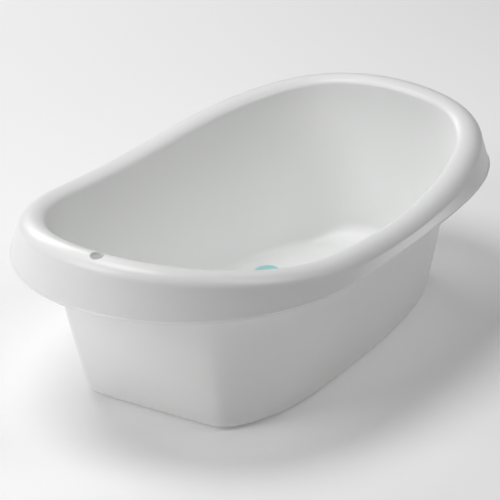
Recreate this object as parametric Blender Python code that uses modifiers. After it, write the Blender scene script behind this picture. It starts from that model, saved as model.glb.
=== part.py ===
"""Baby bathtub: a one-piece moulded tub with a rolled, skirted rim, standing on four soft grip feet.

Axes: +X runs from the high end, which has the hanging hole, to the low end with the ramped floor.
+Z is up, the ground is z = 0 and y = 0 is the plane of symmetry. Units are metres.
"""
import math

import bmesh
import bpy
import numpy as np

# Overall size and wall.
HALF_LENGTH = 0.350
RIM_HALF_WIDTH = 0.2177
WALL = 0.0026
STAND = 0.0020            # the tub's underside is held this far off the ground by the feet

# Plan outline of the rim's outer edge: two half superellipses joined at RIM_WAIST_X.
RIM_WAIST_X = -0.1103
RIM_POWER_HIGH_END = 2.085
RIM_POWER_LOW_END = 2.85
RIM_EGG = 0.037           # the low end is this much fuller at x = HALF_LENGTH

# Plan outline of the underside, likewise, but cut off square at BASE_HIGH_END_X.
BASE_HIGH_END_X = -0.2242
BASE_OVERRUN = 0.0293     # how far the outline would go on past the square end
BASE_CORNER = 0.0063
BASE_LOW_END_X = 0.2831
BASE_WAIST_X = -0.0683
BASE_HALF_WIDTH = 0.1401
BASE_POWER_HIGH_END = 2.40
BASE_POWER_LOW_END = 2.93
BASE_FILLET = 0.0085
WALL_BULGE = 0.0017

# Heights above the tub's underside. The rim dips along the sides and rises at both ends.
DIP_X = 0.0408
CREASE_Z_DIP = 0.1738
CREASE_RISE_HIGH_END = 0.0526
CREASE_RISE_LOW_END = 0.0259
LIP_Z_DIP = 0.1739
LIP_RISE_HIGH_END = 0.0081
LIP_RISE_LOW_END = -0.0266
RISE_SOFTNESS = 0.15      # how gradually the rises begin, as a part of their length
RISE_POWER_HIGH_END = 1.58
RISE_POWER_LOW_END = 1.61
PEAK_ROUNDING = 0.12      # radians of bearing over which the low end's peak is rounded

# Rim section, as insets from the lip: a beaded lip, a straight flaring skirt and a roll of two
# quarter ellipses.
LIP_BEAD = 0.0016
LIP_BEAD_HEIGHT = 0.0030
CREASE_INSET = 0.0083
ROLL_OUT = 0.0190
ROLL_RISE = 0.0168
ROLL_IN = 0.0150
ROLL_FALL = 0.0083
SMOOTH_SKIRT_X = -0.190   # the skirt runs smoothly into the roll up to here
CREASED_SKIRT_X = -0.090  # and meets it in a faint crease from here on
CREASED_TURN = 0.44       # there, as a part of the turn at which it would be smooth

# Floor ramp at the low end.
RAMP_X = 0.2522
RAMP_ANGLE = math.radians(34.0)
RAMP_FILLET = 0.007
FLOOR_RING_SPACE = 0.0015

# Hanging hole through the roll at the high end.
HANG_HOLE_X = -0.3235
HANG_HOLE_Z = 0.242
HANG_HOLE_RADIUS = 0.0083
HANG_HOLE_DRILL = 0.028

# Grip feet: rivet-shaped, moulded through the floor.
FOOT_X = 0.1535
FOOT_Y = 0.0837
FOOT_CORNERS = {"grip_foot_1": (-1, 1), "grip_foot_2": (-1, -1),
                "grip_foot_3": (1, 1), "grip_foot_4": (1, -1)}
FOOT_RADIUS = 0.0160
FOOT_EDGE = 0.0006
FOOT_STEM_RADIUS = 0.0080
FOOT_STEM_DRILL = 0.010
FOOT_TOP = 0.0013
FOOT_TOP_SLOPE = 0.0018
FIT_GAP = 0.0003

# Fineness of the net.
STATIONS = 96
BEAD_ROWS = 2
SKIRT_ROWS = 3
ROLL_ROWS = 5
WALL_ROWS = 4
FILLET_ROWS = 4
TURN_STEPS = 32
OUTLINE_STEPS = 4000
HALVINGS = 40


def superellipse(angle, low_reach, high_reach, half_width, power_low, power_high, waist_x):
    """Point of an outline whose two halves have their own reach and power."""
    c, s = np.cos(angle), np.sin(angle)
    reach = np.where(c > 0, low_reach, high_reach)
    power = np.where(c > 0, power_low, power_high)
    x = waist_x + reach * np.sign(c) * np.abs(c) ** (2 / power)
    y = half_width * np.sign(s) * np.abs(s) ** (2 / power)
    return x, y


def rim_outline(angle):
    x, y = superellipse(angle, HALF_LENGTH - RIM_WAIST_X, HALF_LENGTH + RIM_WAIST_X, RIM_HALF_WIDTH,
                        RIM_POWER_LOW_END, RIM_POWER_HIGH_END, RIM_WAIST_X)
    return x, y * (1 + RIM_EGG * x / HALF_LENGTH)


def base_outline(angle):
    x, y = superellipse(angle, BASE_LOW_END_X - BASE_WAIST_X, BASE_WAIST_X - BASE_HIGH_END_X + BASE_OVERRUN,
                        BASE_HALF_WIDTH, BASE_POWER_LOW_END, BASE_POWER_HIGH_END, BASE_WAIST_X)
    beyond = x - BASE_HIGH_END_X
    return BASE_HIGH_END_X + (beyond + np.hypot(beyond, BASE_CORNER)) / 2, y


def even_angles(outline, count):
    """Angles that space the stations evenly along an outline."""
    angle = np.linspace(0, 2 * math.pi, OUTLINE_STEPS + 1)
    x, y = outline(angle)
    run = np.concatenate([[0], np.cumsum(np.hypot(np.diff(x), np.diff(y)))])
    return np.interp(np.linspace(0, run[-1], count, endpoint=False), run, angle)


def outward(x, y):
    """Unit plan normals of a closed, anticlockwise outline."""
    dx = np.roll(x, -1) - np.roll(x, 1)
    dy = np.roll(y, -1) - np.roll(y, 1)
    length = np.hypot(dx, dy)
    return dy / length, -dx / length


def gradual(run, power):
    """Leaves zero with no slope, soon follows a power of the run and reaches 1 at run = 1."""
    soft = RISE_SOFTNESS ** power
    reach = (1 + RISE_SOFTNESS ** 2) ** (power / 2)
    return ((np.clip(run, 0, None) ** 2 + RISE_SOFTNESS ** 2) ** (power / 2) - soft) / (reach - soft)


def rim_height(x, y, dip, rise_high_end, rise_low_end):
    """Height that is level at DIP_X and rises or falls towards each end."""
    bearing = np.hypot(np.arctan2(y, x - DIP_X), PEAK_ROUNDING) - PEAK_ROUNDING
    quarter = math.hypot(math.pi / 2, PEAK_ROUNDING) - PEAK_ROUNDING
    to_low = gradual(1 - bearing / quarter, RISE_POWER_LOW_END)
    to_high = gradual((DIP_X - x) / (HALF_LENGTH + DIP_X), RISE_POWER_HIGH_END)
    return STAND + dip + rise_high_end * to_high + rise_low_end * to_low


def skirt_end_turn(x, skirt_foot, crease):
    """Where on the outer roll the skirt ends: at the tangent from its foot, or before it in a crease."""
    rise = (crease - skirt_foot) / ROLL_RISE
    run = (CREASE_INSET + ROLL_OUT - LIP_BEAD) / ROLL_OUT
    tangent = np.arccos(1 / np.hypot(rise, run)) - np.arctan2(rise, run)
    part = np.clip((x - SMOOTH_SKIRT_X) / (CREASED_SKIRT_X - SMOOTH_SKIRT_X), 0, 1)
    creased = part * part * (3 - 2 * part)
    return tangent * (1 - (1 - CREASED_TURN) * creased)


def rim_rings():
    """Rings of the lip, skirt and roll, from the lip's lower edge to the roll's inner edge."""
    x, y = rim_outline(even_angles(rim_outline, STATIONS))
    nx, ny = outward(x, y)
    lip = rim_height(x, y, LIP_Z_DIP, LIP_RISE_HIGH_END, LIP_RISE_LOW_END)
    crease = rim_height(x, y, CREASE_Z_DIP, CREASE_RISE_HIGH_END, CREASE_RISE_LOW_END)
    skirt_foot = lip + LIP_BEAD_HEIGHT
    start = skirt_end_turn(x, skirt_foot, crease)
    skirt_inset = CREASE_INSET + ROLL_OUT * (1 - np.cos(start))
    skirt_head = crease + ROLL_RISE * np.sin(start)
    section = []
    for turn in np.linspace(0, math.pi / 2, BEAD_ROWS + 1):
        section.append((LIP_BEAD * (1 - math.cos(turn)), lip + LIP_BEAD_HEIGHT * math.sin(turn)))
    for part in np.linspace(0, 1, SKIRT_ROWS + 1)[1:]:
        inset = LIP_BEAD + (skirt_inset - LIP_BEAD) * part
        section.append((inset, skirt_foot + (skirt_head - skirt_foot) * part))
    for part in np.linspace(0, 1, ROLL_ROWS + 1)[1:]:
        turn = start + (math.pi / 2 - start) * part
        inset = CREASE_INSET + ROLL_OUT * (1 - np.cos(turn))
        section.append((inset, crease + ROLL_RISE * np.sin(turn)))
    for turn in np.linspace(math.pi / 2, 0, ROLL_ROWS + 1)[1:]:
        inset = CREASE_INSET + ROLL_OUT + ROLL_IN * math.cos(turn)
        section.append((inset, crease + ROLL_RISE - ROLL_FALL * (1 - math.sin(turn))))
    return [np.stack([x - nx * inset, y - ny * inset, z], 1) for inset, z in section]


def floor_height(x):
    """Upper side of the floor: level, then ramped, with a rounded change of slope."""
    slope = math.tan(RAMP_ANGLE)
    run = x - RAMP_X
    blend = np.clip((run + RAMP_FILLET) / (2 * RAMP_FILLET), 0, 1)
    rounded = slope * RAMP_FILLET * blend ** 2
    return STAND + WALL + np.where(run > RAMP_FILLET, slope * run, rounded)


def on_floor(plan):
    return np.concatenate([plan, floor_height(plan[:, 0])[:, None]], 1)


def inside_reach(bearing):
    """Distance from the middle of the tub to the inside of its wall at floor level."""
    x, y = base_outline(np.linspace(0, 2 * math.pi, OUTLINE_STEPS, endpoint=False))
    nx, ny = outward(x, y)
    x = x - nx * WALL
    y = y - ny * WALL
    return np.interp(bearing, np.arctan2(y, x), np.hypot(x, y), period=2 * math.pi)


def wall_corners(top, fall):
    """Where the straight wall from each point of the rim's inner edge meets the floor or its ramp."""
    low, high = np.zeros(len(top)), np.ones(len(top))
    for _ in range(HALVINGS):
        middle = (low + high) / 2
        point = top + fall * middle[:, None]
        above = point[:, 2] > floor_height(point[:, 0])
        low = np.where(above, middle, low)
        high = np.where(above, high, middle)
    return top + fall * low[:, None]


def body_rings(top):
    """Rings of the wall, the fillet at its foot and the floor, following the roll's inner edge."""
    bearing = np.arctan2(top[:, 1], top[:, 0])
    ray = np.stack([np.cos(bearing), np.sin(bearing)], 1)
    foot = np.column_stack([ray * inside_reach(bearing)[:, None], np.full(len(top), STAND + WALL)])
    fall = foot - top
    corner = wall_corners(top, fall)
    up_wall = -fall / np.linalg.norm(fall, axis=1)[:, None]
    fillet_top = corner + up_wall * BASE_FILLET
    floor_edge = corner[:, :2] - ray * BASE_FILLET
    fillet_foot = on_floor(floor_edge)
    rings = []
    for part in np.linspace(0, 1, WALL_ROWS + 1)[1:-1]:
        ring = top + (fillet_top - top) * part
        ring[:, :2] += ray * WALL_BULGE * 4 * part * (1 - part)
        rings.append(ring)
    for part in np.linspace(0, 1, FILLET_ROWS + 1):
        rings.append((1 - part) ** 2 * fillet_top + 2 * part * (1 - part) * corner + part ** 2 * fillet_foot)
    radius = np.linalg.norm(floor_edge, axis=1)
    ramp_foot = radius * np.minimum(1, RAMP_X / np.maximum(floor_edge[:, 0], RAMP_X))
    for row, shift in enumerate((0, -RAMP_FILLET, -2 * RAMP_FILLET)):
        reach = np.minimum(ramp_foot + shift, radius - FLOOR_RING_SPACE * (row + 1))
        rings.append(on_floor(ray * reach[:, None]))
    return rings


def mesh_object(name, collection, vertices, edges, faces):
    mesh = bpy.data.meshes.new(name)
    mesh.from_pydata([tuple(float(c) for c in v) for v in vertices], edges, faces)
    mesh.validate()
    item = bpy.data.objects.new(name, mesh)
    collection.objects.link(item)
    return item


def loft(name, collection, rings):
    """Skin over closed rings of equal length, with the last ring filled in."""
    count = len(rings[0])
    faces = []
    for row in range(len(rings) - 1):
        for i in range(count):
            j = (i + 1) % count
            faces.append((row * count + i, row * count + j, (row + 1) * count + j, (row + 1) * count + i))
    last = (len(rings) - 1) * count
    faces.append(tuple(last + i for i in range(count)))
    return mesh_object(name, collection, np.concatenate(rings), [], faces)


def cylinder_cutter(name, collection, centre, radius, depth):
    mesh = bpy.data.meshes.new(name)
    shape = bmesh.new()
    bmesh.ops.create_cone(shape, cap_ends=True, segments=TURN_STEPS, radius1=radius, radius2=radius,
                          depth=depth)
    shape.to_mesh(mesh)
    shape.free()
    item = bpy.data.objects.new(name, mesh)
    item.location = centre
    item.hide_render = True
    item.display_type = "WIRE"
    collection.objects.link(item)
    return item


def subtract(item, cutter):
    cut = item.modifiers.new(cutter.name, "BOOLEAN")
    cut.operation = "DIFFERENCE"
    cut.solver = "EXACT"
    cut.object = cutter


def material(name, colour, roughness):
    made = bpy.data.materials.new(name)
    made.use_nodes = True
    shader = made.node_tree.nodes["Principled BSDF"]
    shader.inputs["Base Color"].default_value = (*colour, 1.0)
    shader.inputs["Roughness"].default_value = roughness
    return made


def tub_shell(collection):
    """The moulded tub as one wall, grown outwards and downwards from its inside and top surface."""
    rings = rim_rings()
    rings += body_rings(rings[-1])
    tub = loft("tub_shell", collection, rings)
    tub.data.shade_smooth()
    tub.data.materials.append(material("white_polypropylene", (0.86, 0.86, 0.83), 0.32))
    skin = tub.modifiers.new("wall", "SOLIDIFY")
    skin.thickness = WALL
    skin.offset = -1
    skin.use_even_offset = True
    skin.use_quality_normals = True
    return tub


def grip_foot(name, collection, x, y):
    """Rivet-shaped foot: pad on the ground, stem through the floor, low dome inside the tub."""
    under = STAND - FIT_GAP
    over = STAND + WALL + FIT_GAP
    edge = FOOT_RADIUS - FOOT_EDGE
    profile = [(0, 0), (edge, 0), (FOOT_RADIUS, FOOT_EDGE), (FOOT_RADIUS, under),
               (FOOT_STEM_RADIUS, under), (FOOT_STEM_RADIUS, over), (FOOT_RADIUS, over),
               (FOOT_RADIUS, over + 0.3 * FOOT_TOP), (edge, over + 0.7 * FOOT_TOP),
               (FOOT_RADIUS - FOOT_TOP_SLOPE, over + FOOT_TOP), (0, over + FOOT_TOP)]
    edges = [(i, i + 1) for i in range(len(profile) - 1)]
    item = mesh_object(name, collection, [(r, 0, z) for r, z in profile], edges, [])
    item.location = (x, y, 0)
    item.data.materials.append(material(name + "_elastomer", (0.40, 0.66, 0.65), 0.62))
    turn = item.modifiers.new("turn", "SCREW")
    turn.axis = "Z"
    turn.steps = TURN_STEPS
    turn.render_steps = TURN_STEPS
    turn.use_merge_vertices = True
    turn.merge_threshold = 0.00005
    turn.use_normal_calculate = True
    turn.use_smooth_shade = True
    return item


def build():
    for item in list(bpy.data.objects):
        bpy.data.objects.remove(item, do_unlink=True)
    collection = bpy.data.collections.new("baby_bathtub")
    cutters = bpy.data.collections.new("cutters")
    bpy.context.scene.collection.children.link(collection)
    bpy.context.scene.collection.children.link(cutters)

    tub = tub_shell(collection)
    subtract(tub, cylinder_cutter("hanging_hole", cutters, (HANG_HOLE_X, 0, HANG_HOLE_Z),
                                  HANG_HOLE_RADIUS, HANG_HOLE_DRILL))
    for name, (side_x, side_y) in FOOT_CORNERS.items():
        x, y = side_x * FOOT_X, side_y * FOOT_Y
        subtract(tub, cylinder_cutter("hole_for_" + name, cutters, (x, y, STAND + WALL / 2),
                                      FOOT_STEM_RADIUS + FIT_GAP, FOOT_STEM_DRILL))
        grip_foot(name, collection, x, y)


build()
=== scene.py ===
"""Looks of the baby bathtub: a satin white moulded tub on four turquoise grip feet.

The tub's surface follows the same construction as the CAD tub, on a finer net, so it fills the same space.
Axes: +X from the high end with the hanging hole to the low end with the floor ramp, +Z up, metres.
"""
import math

import bmesh
import bpy
import numpy as np
from mathutils import Matrix, Vector


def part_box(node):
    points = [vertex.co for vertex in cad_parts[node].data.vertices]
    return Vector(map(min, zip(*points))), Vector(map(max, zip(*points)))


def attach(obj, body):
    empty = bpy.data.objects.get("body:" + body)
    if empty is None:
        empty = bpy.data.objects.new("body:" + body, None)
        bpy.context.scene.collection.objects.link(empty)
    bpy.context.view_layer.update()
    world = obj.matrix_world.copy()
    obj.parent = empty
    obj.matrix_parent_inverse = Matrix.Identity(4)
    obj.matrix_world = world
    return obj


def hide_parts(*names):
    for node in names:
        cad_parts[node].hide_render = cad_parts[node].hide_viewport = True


# ---------------------------------------------------------------- construction of the tub
# Overall size and wall.
RIM_HALF_WIDTH = 0.2177
WALL = 0.0026
STAND = 0.0020            # the tub's underside is held this far off the ground by the feet

# Plan outline of the rim's outer edge: two half superellipses joined at RIM_WAIST_X.
RIM_WAIST_X = -0.1103
RIM_POWER_HIGH_END = 2.085
RIM_POWER_LOW_END = 2.85
RIM_EGG = 0.037           # the low end is this much fuller at x = HALF_LENGTH

# Plan outline of the underside, likewise, but cut off square at BASE_HIGH_END_X.
BASE_HIGH_END_X = -0.2242
BASE_OVERRUN = 0.0293     # how far the outline would go on past the square end
BASE_CORNER = 0.0063
BASE_LOW_END_X = 0.2831
BASE_WAIST_X = -0.0683
BASE_HALF_WIDTH = 0.1401
BASE_POWER_HIGH_END = 2.40
BASE_POWER_LOW_END = 2.93
BASE_FILLET = 0.0085
WALL_BULGE = 0.0017

# Heights above the tub's underside. The rim dips along the sides and rises at both ends.
DIP_X = 0.0408
CREASE_Z_DIP = 0.1738
CREASE_RISE_HIGH_END = 0.0526
CREASE_RISE_LOW_END = 0.0259
LIP_Z_DIP = 0.1739
LIP_RISE_HIGH_END = 0.0081
LIP_RISE_LOW_END = -0.0266
RISE_SOFTNESS = 0.15      # how gradually the rises begin, as a part of their length
RISE_POWER_HIGH_END = 1.58
RISE_POWER_LOW_END = 1.61
PEAK_ROUNDING = 0.12      # radians of bearing over which the low end's peak is rounded

# Rim section, as insets from the lip: a beaded lip, a straight flaring skirt and a roll of two
# quarter ellipses.
LIP_BEAD = 0.0016
LIP_BEAD_HEIGHT = 0.0030
CREASE_INSET = 0.0083
ROLL_OUT = 0.0190
ROLL_RISE = 0.0168
ROLL_IN = 0.0150
ROLL_FALL = 0.0083
SMOOTH_SKIRT_X = -0.190   # the skirt runs smoothly into the roll up to here
CREASED_SKIRT_X = -0.090  # and meets it in a faint crease from here on
CREASED_TURN = 0.44       # there, as a part of the turn at which it would be smooth

# Floor ramp at the low end.
RAMP_X = 0.2522
RAMP_ANGLE = math.radians(34.0)
RAMP_FILLET = 0.007
FLOOR_RING_SPACE = 0.0015

# Hanging hole through the roll at the high end.
HANG_HOLE_X = -0.3235
HANG_HOLE_Z = 0.242
HANG_HOLE_RADIUS = 0.0083
HANG_HOLE_DRILL = 0.028

# Grip feet: each fills the box of its CAD node.
FOOT_NODES = ("grip_foot_1", "grip_foot_2", "grip_foot_3", "grip_foot_4")
FOOT_EDGE = 0.0008         # rounding of the pad's lower edge
FOOT_SHOULDER = 0.85       # part of the disc's rise that its rounded shoulder takes, its crown the rest
FOOT_STEM_RADIUS = 0.0080
FOOT_STEM_DRILL = 0.010
FIT_GAP = 0.0003

# Edges that the moulding rounds, and the angles past which the shading breaks.
EDGE_ROUNDING = 0.0008
EDGE_ANGLE = math.radians(55)
TUB_SHARP_ANGLE = math.radians(38)
FOOT_SHARP_ANGLE = math.radians(40)

# Fineness of the net.
STATIONS = 480
BEAD_ROWS = 4
SKIRT_ROWS = 10
ROLL_ROWS = 12
WALL_ROWS = 14
FILLET_ROWS = 9
TURN_STEPS = 96
EDGE_STEPS = 3
FOOT_EDGE_STEPS = 5
FOOT_SHOULDER_STEPS = 8
FOOT_CROWN_STEPS = 6
SEAM_MERGE = 0.00002
OUTLINE_STEPS = 8000
HALVINGS = 40

# ---------------------------------------------------------------- plastic, camera and light
LIGHT_THROUGH_WALL = 0.5  # part of the light that the thin plastic scatters inside the wall
LIGHT_DEPTH = 0.003
CAMERA_AZIMUTH = math.radians(-56.846)  # from -Y towards +X
CAMERA_ELEVATION = math.radians(25.592)
CAMERA_DISTANCE = 4.6188
CAMERA_TARGET = Vector((-0.01312, 0.0, 0.12329))
CAMERA_LENS = 280.94
CAMERA_ROLL = math.radians(-1.049)
SENSOR_WIDTH = 36
CLIP_END = 50
LAMP_AIM = Vector((0.0, 0.0, 0.12))
LAMP_DISTANCE = 2.6
LAMP_DIAMETER = 1.4
# Name, bearing and elevation in degrees, power in watts.
LAMPS = (("key_left", 150, 30, 22.5), ("rear_right", 60, 30, 17), ("front_right", 288, 50, 14),
         ("overhead", 120, 72, 31))
WORLD_STRENGTH = 0.0      # the lamps and the floor's glow are all the light there is
FLOOR_GLOW = 0.10
FLOOR_REACH = 6.0
FLOOR_DROP = 0.0005       # keeps the floor just under the feet
FLOOR_SQUARES = 8


def superellipse(angle, low_reach, high_reach, half_width, power_low, power_high, waist_x):
    """Point of an outline whose two halves have their own reach and power."""
    c, s = np.cos(angle), np.sin(angle)
    reach = np.where(c > 0, low_reach, high_reach)
    power = np.where(c > 0, power_low, power_high)
    x = waist_x + reach * np.sign(c) * np.abs(c) ** (2 / power)
    y = half_width * np.sign(s) * np.abs(s) ** (2 / power)
    return x, y


def rim_outline(angle):
    x, y = superellipse(angle, HALF_LENGTH - RIM_WAIST_X, HALF_LENGTH + RIM_WAIST_X, RIM_HALF_WIDTH,
                        RIM_POWER_LOW_END, RIM_POWER_HIGH_END, RIM_WAIST_X)
    return x, y * (1 + RIM_EGG * x / HALF_LENGTH)


def base_outline(angle):
    x, y = superellipse(angle, BASE_LOW_END_X - BASE_WAIST_X, BASE_WAIST_X - BASE_HIGH_END_X + BASE_OVERRUN,
                        BASE_HALF_WIDTH, BASE_POWER_LOW_END, BASE_POWER_HIGH_END, BASE_WAIST_X)
    beyond = x - BASE_HIGH_END_X
    return BASE_HIGH_END_X + (beyond + np.hypot(beyond, BASE_CORNER)) / 2, y


def even_angles(outline, count):
    """Angles that space the stations evenly along an outline."""
    angle = np.linspace(0, 2 * math.pi, OUTLINE_STEPS + 1)
    x, y = outline(angle)
    run = np.concatenate([[0], np.cumsum(np.hypot(np.diff(x), np.diff(y)))])
    return np.interp(np.linspace(0, run[-1], count, endpoint=False), run, angle)


def outward(x, y):
    """Unit plan normals of a closed, anticlockwise outline."""
    dx = np.roll(x, -1) - np.roll(x, 1)
    dy = np.roll(y, -1) - np.roll(y, 1)
    length = np.hypot(dx, dy)
    return dy / length, -dx / length


def gradual(run, power):
    """Leaves zero with no slope, soon follows a power of the run and reaches 1 at run = 1."""
    soft = RISE_SOFTNESS ** power
    reach = (1 + RISE_SOFTNESS ** 2) ** (power / 2)
    return ((np.clip(run, 0, None) ** 2 + RISE_SOFTNESS ** 2) ** (power / 2) - soft) / (reach - soft)


def rim_height(x, y, dip, rise_high_end, rise_low_end):
    """Height that is level at DIP_X and rises or falls towards each end."""
    bearing = np.hypot(np.arctan2(y, x - DIP_X), PEAK_ROUNDING) - PEAK_ROUNDING
    quarter = math.hypot(math.pi / 2, PEAK_ROUNDING) - PEAK_ROUNDING
    to_low = gradual(1 - bearing / quarter, RISE_POWER_LOW_END)
    to_high = gradual((DIP_X - x) / (HALF_LENGTH + DIP_X), RISE_POWER_HIGH_END)
    return STAND + dip + rise_high_end * to_high + rise_low_end * to_low


def skirt_end_turn(x, skirt_foot, crease):
    """Where on the outer roll the skirt ends: at the tangent from its foot, or before it in a crease."""
    rise = (crease - skirt_foot) / ROLL_RISE
    run = (CREASE_INSET + ROLL_OUT - LIP_BEAD) / ROLL_OUT
    tangent = np.arccos(1 / np.hypot(rise, run)) - np.arctan2(rise, run)
    part = np.clip((x - SMOOTH_SKIRT_X) / (CREASED_SKIRT_X - SMOOTH_SKIRT_X), 0, 1)
    creased = part * part * (3 - 2 * part)
    return tangent * (1 - (1 - CREASED_TURN) * creased)


def rim_rings():
    """Rings of the lip, skirt and roll, from the lip's lower edge to the roll's inner edge."""
    x, y = rim_outline(even_angles(rim_outline, STATIONS))
    nx, ny = outward(x, y)
    lip = rim_height(x, y, LIP_Z_DIP, LIP_RISE_HIGH_END, LIP_RISE_LOW_END)
    crease = rim_height(x, y, CREASE_Z_DIP, CREASE_RISE_HIGH_END, CREASE_RISE_LOW_END)
    skirt_foot = lip + LIP_BEAD_HEIGHT
    start = skirt_end_turn(x, skirt_foot, crease)
    skirt_inset = CREASE_INSET + ROLL_OUT * (1 - np.cos(start))
    skirt_head = crease + ROLL_RISE * np.sin(start)
    section = []
    for turn in np.linspace(0, math.pi / 2, BEAD_ROWS + 1):
        section.append((LIP_BEAD * (1 - math.cos(turn)), lip + LIP_BEAD_HEIGHT * math.sin(turn)))
    for part in np.linspace(0, 1, SKIRT_ROWS + 1)[1:]:
        inset = LIP_BEAD + (skirt_inset - LIP_BEAD) * part
        section.append((inset, skirt_foot + (skirt_head - skirt_foot) * part))
    for part in np.linspace(0, 1, ROLL_ROWS + 1)[1:]:
        turn = start + (math.pi / 2 - start) * part
        inset = CREASE_INSET + ROLL_OUT * (1 - np.cos(turn))
        section.append((inset, crease + ROLL_RISE * np.sin(turn)))
    for turn in np.linspace(math.pi / 2, 0, ROLL_ROWS + 1)[1:]:
        inset = CREASE_INSET + ROLL_OUT + ROLL_IN * math.cos(turn)
        section.append((inset, crease + ROLL_RISE - ROLL_FALL * (1 - math.sin(turn))))
    return [np.stack([x - nx * inset, y - ny * inset, z], 1) for inset, z in section]


def floor_height(x):
    """Upper side of the floor: level, then ramped, with a rounded change of slope."""
    slope = math.tan(RAMP_ANGLE)
    run = x - RAMP_X
    blend = np.clip((run + RAMP_FILLET) / (2 * RAMP_FILLET), 0, 1)
    rounded = slope * RAMP_FILLET * blend ** 2
    return STAND + WALL + np.where(run > RAMP_FILLET, slope * run, rounded)


def on_floor(plan):
    return np.concatenate([plan, floor_height(plan[:, 0])[:, None]], 1)


def inside_reach(bearing):
    """Distance from the middle of the tub to the inside of its wall at floor level."""
    x, y = base_outline(np.linspace(0, 2 * math.pi, OUTLINE_STEPS, endpoint=False))
    nx, ny = outward(x, y)
    x = x - nx * WALL
    y = y - ny * WALL
    return np.interp(bearing, np.arctan2(y, x), np.hypot(x, y), period=2 * math.pi)


def wall_corners(top, fall):
    """Where the straight wall from each point of the rim's inner edge meets the floor or its ramp."""
    low, high = np.zeros(len(top)), np.ones(len(top))
    for _ in range(HALVINGS):
        middle = (low + high) / 2
        point = top + fall * middle[:, None]
        above = point[:, 2] > floor_height(point[:, 0])
        low = np.where(above, middle, low)
        high = np.where(above, high, middle)
    return top + fall * low[:, None]


def body_rings(top):
    """Rings of the wall, the fillet at its foot and the floor, following the roll's inner edge."""
    bearing = np.arctan2(top[:, 1], top[:, 0])
    ray = np.stack([np.cos(bearing), np.sin(bearing)], 1)
    foot = np.column_stack([ray * inside_reach(bearing)[:, None], np.full(len(top), STAND + WALL)])
    fall = foot - top
    corner = wall_corners(top, fall)
    up_wall = -fall / np.linalg.norm(fall, axis=1)[:, None]
    fillet_top = corner + up_wall * BASE_FILLET
    floor_edge = corner[:, :2] - ray * BASE_FILLET
    fillet_foot = on_floor(floor_edge)
    rings = []
    for part in np.linspace(0, 1, WALL_ROWS + 1)[1:-1]:
        ring = top + (fillet_top - top) * part
        ring[:, :2] += ray * WALL_BULGE * 4 * part * (1 - part)
        rings.append(ring)
    for part in np.linspace(0, 1, FILLET_ROWS + 1):
        rings.append((1 - part) ** 2 * fillet_top + 2 * part * (1 - part) * corner + part ** 2 * fillet_foot)
    radius = np.linalg.norm(floor_edge, axis=1)
    ramp_foot = radius * np.minimum(1, RAMP_X / np.maximum(floor_edge[:, 0], RAMP_X))
    for row, shift in enumerate((0, -RAMP_FILLET, -2 * RAMP_FILLET)):
        reach = np.minimum(ramp_foot + shift, radius - FLOOR_RING_SPACE * (row + 1))
        rings.append(on_floor(ray * reach[:, None]))
    return rings


# ---------------------------------------------------------------- mesh helpers
def link(item):
    bpy.context.scene.collection.objects.link(item)
    return item


def loft(name, rings):
    """Skin over closed rings of equal length, with the last ring filled in."""
    count = len(rings[0])
    faces = []
    for row in range(len(rings) - 1):
        for i in range(count):
            j = (i + 1) % count
            faces.append((row * count + i, row * count + j, (row + 1) * count + j, (row + 1) * count + i))
    last = (len(rings) - 1) * count
    faces.append(tuple(last + i for i in range(count)))
    mesh = bpy.data.meshes.new(name)
    mesh.from_pydata([tuple(float(c) for c in v) for v in np.concatenate(rings)], [], faces)
    mesh.validate()
    return link(bpy.data.objects.new(name, mesh))


def drill(centre, radius, depth):
    mesh = bpy.data.meshes.new("drill")
    shape = bmesh.new()
    bmesh.ops.create_cone(shape, cap_ends=True, segments=TURN_STEPS, radius1=radius, radius2=radius,
                          depth=depth)
    shape.to_mesh(mesh)
    shape.free()
    item = link(bpy.data.objects.new("drill", mesh))
    item.location = centre
    return item


def subtract(item, cutter):
    cut = item.modifiers.new("cut", "BOOLEAN")
    cut.operation = "DIFFERENCE"
    cut.solver = "EXACT"
    cut.object = cutter


def apply_modifiers(item):
    """Replaces the mesh by its evaluated form."""
    graph = bpy.context.evaluated_depsgraph_get()
    made = bpy.data.meshes.new_from_object(item.evaluated_get(graph))
    item.modifiers.clear()
    item.data = made


def remove(item):
    bpy.data.objects.remove(item, do_unlink=True)


# ---------------------------------------------------------------- pieces
def make_tub():
    rings = rim_rings()
    rings += body_rings(rings[-1])
    tub = loft("tub", rings)
    skin = tub.modifiers.new("wall", "SOLIDIFY")
    skin.thickness = WALL
    skin.offset = -1
    skin.use_even_offset = True
    skin.use_quality_normals = True
    edge = tub.modifiers.new("edge", "BEVEL")
    edge.width = EDGE_ROUNDING
    edge.segments = EDGE_STEPS
    edge.limit_method = "ANGLE"
    edge.angle_limit = EDGE_ANGLE
    edge.use_clamp_overlap = False
    drills = [drill((HANG_HOLE_X, 0, HANG_HOLE_Z), HANG_HOLE_RADIUS, HANG_HOLE_DRILL)]
    for node in FOOT_NODES:
        centre = foot_centre(node)
        drills.append(drill((centre.x, centre.y, STAND + WALL / 2), FOOT_STEM_RADIUS + FIT_GAP,
                            FOOT_STEM_DRILL))
    for cutter in drills:
        subtract(tub, cutter)
    apply_modifiers(tub)
    for cutter in drills:
        remove(cutter)
    tub.data.shade_smooth()
    tub.data.set_sharp_from_angle(angle=TUB_SHARP_ANGLE)
    return tub


def foot_centre(node):
    low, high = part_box(node)
    return (Vector(low) + Vector(high)) / 2


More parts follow.
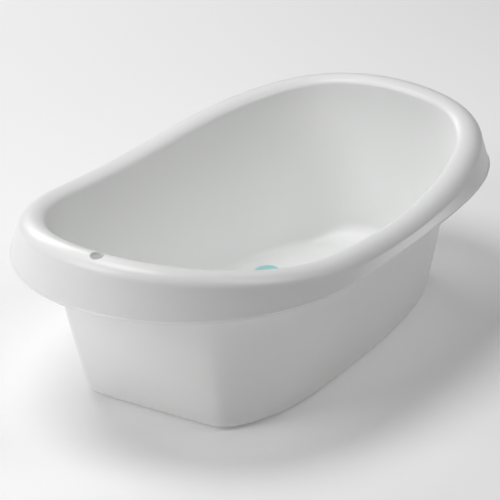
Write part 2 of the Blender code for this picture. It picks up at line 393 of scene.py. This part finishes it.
def make_foot(node):
    """Pad, stem and inner disc, turned from one profile that starts and ends on the foot's axis."""
    low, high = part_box(node)
    centre = foot_centre(node)
    radius = (high[0] - low[0]) / 2
    under = STAND - FIT_GAP
    over = STAND + WALL + FIT_GAP
    top = high[2]
    mesh = bpy.data.meshes.new(node + "_disc")
    profile = [(0, 0), (radius - FOOT_EDGE, 0)]
    for step in range(1, FOOT_EDGE_STEPS + 1):
        turn = math.pi / 2 * step / FOOT_EDGE_STEPS
        profile.append((radius - FOOT_EDGE + FOOT_EDGE * math.sin(turn), FOOT_EDGE * (1 - math.cos(turn))))
    profile += [(radius, under), (FOOT_STEM_RADIUS, under), (FOOT_STEM_RADIUS, over), (radius, over)]
    shoulder = top - over
    for step in range(1, FOOT_SHOULDER_STEPS + 1):
        turn = math.pi / 2 * step / FOOT_SHOULDER_STEPS
        reach = radius - shoulder * (1 - math.cos(turn))
        profile.append((reach, over + shoulder * math.sin(turn) * FOOT_SHOULDER))
    for step in range(1, FOOT_CROWN_STEPS + 1):
        part = step / FOOT_CROWN_STEPS
        reach = (radius - shoulder) * (1 - part)
        crown = (1 - FOOT_SHOULDER) * (1 - (1 - part) ** 2)
        profile.append((reach, over + shoulder * (FOOT_SHOULDER + crown)))
    edges = [(i, i + 1) for i in range(len(profile) - 1)]
    mesh.from_pydata([(r, 0, z) for r, z in profile], edges, [])
    foot = link(bpy.data.objects.new(node + "_disc", mesh))
    foot.location = (centre.x, centre.y, 0)
    turn = foot.modifiers.new("turn", "SCREW")
    turn.axis = "Z"
    turn.steps = TURN_STEPS
    turn.render_steps = TURN_STEPS
    turn.use_merge_vertices = True
    turn.merge_threshold = SEAM_MERGE
    turn.use_normal_calculate = True
    apply_modifiers(foot)
    foot.data.shade_smooth()
    foot.data.set_sharp_from_angle(angle=FOOT_SHARP_ANGLE)
    return foot


# ---------------------------------------------------------------- materials
class Nodes:
    """Short hand for building one material's node tree."""

    def __init__(self, name):
        self.material = bpy.data.materials.new(name)
        self.material.use_nodes = True
        self.tree = self.material.node_tree
        self.shader = self.tree.nodes["Principled BSDF"]
        self.coordinates = self.add("ShaderNodeTexCoord").outputs["Object"]

    def add(self, kind, **settings):
        node = self.tree.nodes.new(kind)
        for name, value in settings.items():
            setattr(node, name, value)
        return node

    def join(self, source, target):
        self.tree.links.new(source, target)

    def noise(self, scale, detail=2.0, roughness=0.5):
        node = self.add("ShaderNodeTexNoise")
        node.inputs["Scale"].default_value = scale
        node.inputs["Detail"].default_value = detail
        node.inputs["Roughness"].default_value = roughness
        self.join(self.coordinates, node.inputs["Vector"])
        return node.outputs["Fac"]

    def remap(self, source, low, high, from_low=0.3, from_high=0.7):
        node = self.add("ShaderNodeMapRange")
        node.inputs["From Min"].default_value = from_low
        node.inputs["From Max"].default_value = from_high
        node.inputs["To Min"].default_value = low
        node.inputs["To Max"].default_value = high
        self.join(source, node.inputs["Value"])
        return node.outputs["Result"]

    def blend(self, factor, first, second):
        node = self.add("ShaderNodeMix", data_type="RGBA")
        node.inputs["A"].default_value = (*first, 1)
        node.inputs["B"].default_value = (*second, 1)
        self.join(factor, node.inputs["Factor"])
        return node.outputs["Result"]

    def bump(self, height, distance, strength):
        node = self.add("ShaderNodeBump")
        node.inputs["Distance"].default_value = distance
        node.inputs["Strength"].default_value = strength
        self.join(height, node.inputs["Height"])
        return node.outputs["Normal"]


def white_polypropylene():
    made = Nodes("white_polypropylene")
    cloud = made.noise(scale=5.0, detail=3.0)
    colour = made.blend(made.remap(cloud, 0.0, 1.0), (0.878, 0.884, 0.876), (0.893, 0.898, 0.892))
    made.join(colour, made.shader.inputs["Base Color"])
    satin = made.remap(made.noise(scale=22.0), 0.31, 0.37, from_low=0.1, from_high=0.9)
    made.join(satin, made.shader.inputs["Roughness"])
    sink = made.bump(made.noise(scale=9.0, detail=1.0), distance=0.0012, strength=0.10)
    made.join(sink, made.shader.inputs["Normal"])
    made.shader.inputs["IOR"].default_value = 1.49
    made.shader.inputs["Subsurface Weight"].default_value = LIGHT_THROUGH_WALL
    made.shader.inputs["Subsurface Radius"].default_value = (1, 1, 1)
    made.shader.inputs["Subsurface Scale"].default_value = LIGHT_DEPTH
    return made.material


def turquoise_elastomer():
    made = Nodes("turquoise_elastomer")
    cloud = made.noise(scale=60.0, detail=3.0)
    colour = made.blend(made.remap(cloud, 0.0, 1.0), (0.36, 0.66, 0.66), (0.41, 0.70, 0.70))
    made.join(colour, made.shader.inputs["Base Color"])
    made.join(made.remap(made.noise(scale=300.0, detail=3.0), 0.50, 0.66), made.shader.inputs["Roughness"])
    grain = made.bump(made.noise(scale=420.0), distance=0.00006, strength=0.5)
    made.join(grain, made.shader.inputs["Normal"])
    made.shader.inputs["IOR"].default_value = 1.47
    return made.material


def pale_floor():
    made = Nodes("pale_floor")
    cloud = made.noise(scale=2.0)
    colour = made.blend(made.remap(cloud, 0.0, 1.0), (0.90, 0.90, 0.90), (0.915, 0.915, 0.915))
    made.join(colour, made.shader.inputs["Base Color"])
    made.shader.inputs["Roughness"].default_value = 0.9
    made.shader.inputs["Emission Color"].default_value = (1, 1, 1, 1)
    made.shader.inputs["Emission Strength"].default_value = FLOOR_GLOW
    return made.material


def dress(item, material):
    item.data.materials.clear()
    item.data.materials.append(material)


# ---------------------------------------------------------------- stage
def add_floor():
    mesh = bpy.data.meshes.new("floor")
    shape = bmesh.new()
    bmesh.ops.create_grid(shape, x_segments=FLOOR_SQUARES, y_segments=FLOOR_SQUARES, size=FLOOR_REACH)
    shape.to_mesh(mesh)
    shape.free()
    floor = link(bpy.data.objects.new("floor", mesh))
    floor.location = (0, 0, -FLOOR_DROP)
    dress(floor, pale_floor())


def studio_lamp(name, bearing, elevation, power):
    """Round soft box on a dome over the tub; its bearing is measured from +X towards +Y."""
    data = bpy.data.lights.new(name, "AREA")
    data.shape = "DISK"
    data.size = LAMP_DIAMETER
    data.energy = power
    lamp = link(bpy.data.objects.new(name, data))
    level = math.cos(elevation)
    back = Vector((level * math.cos(bearing), level * math.sin(bearing), math.sin(elevation)))
    lamp.location = LAMP_AIM + back * LAMP_DISTANCE
    lamp.rotation_euler = (-back).to_track_quat("-Z", "Y").to_euler()


def add_lights():
    world = bpy.data.worlds.new("studio")
    world.use_nodes = True
    background = world.node_tree.nodes["Background"]
    background.inputs["Color"].default_value = (1, 1, 1, 1)
    background.inputs["Strength"].default_value = WORLD_STRENGTH
    bpy.context.scene.world = world
    for name, bearing, elevation, power in LAMPS:
        studio_lamp(name, math.radians(bearing), math.radians(elevation), power)


def add_camera():
    data = bpy.data.cameras.new("camera")
    data.lens = CAMERA_LENS
    data.sensor_width = SENSOR_WIDTH
    data.clip_end = CLIP_END
    camera = link(bpy.data.objects.new("camera", data))
    back = Vector((math.sin(CAMERA_AZIMUTH) * math.cos(CAMERA_ELEVATION),
                   -math.cos(CAMERA_AZIMUTH) * math.cos(CAMERA_ELEVATION), math.sin(CAMERA_ELEVATION)))
    camera.location = CAMERA_TARGET + back * CAMERA_DISTANCE
    facing = (-back).to_track_quat("-Z", "Y").to_matrix()
    camera.rotation_euler = (facing @ Matrix.Rotation(CAMERA_ROLL, 3, "Z")).to_euler()
    bpy.context.scene.camera = camera


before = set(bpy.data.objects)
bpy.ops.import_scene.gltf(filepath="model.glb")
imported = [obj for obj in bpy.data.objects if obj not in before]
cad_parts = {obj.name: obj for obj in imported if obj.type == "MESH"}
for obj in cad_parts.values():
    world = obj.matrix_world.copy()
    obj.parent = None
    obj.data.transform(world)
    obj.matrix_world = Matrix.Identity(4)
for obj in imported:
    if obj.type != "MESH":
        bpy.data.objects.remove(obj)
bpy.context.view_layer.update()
tub_low, tub_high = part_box("tub_shell")
HALF_LENGTH = (tub_high[0] - tub_low[0]) / 2

add_camera()
add_lights()
add_floor()

bpy.context.scene.view_settings.view_transform = "Standard"

plastic = white_polypropylene()
elastomer = turquoise_elastomer()

tub = make_tub()
dress(tub, plastic)
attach(tub, "root")
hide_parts("tub_shell")

for node in FOOT_NODES:
    foot = make_foot(node)
    dress(foot, elastomer)
    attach(foot, "root")
    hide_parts(node)
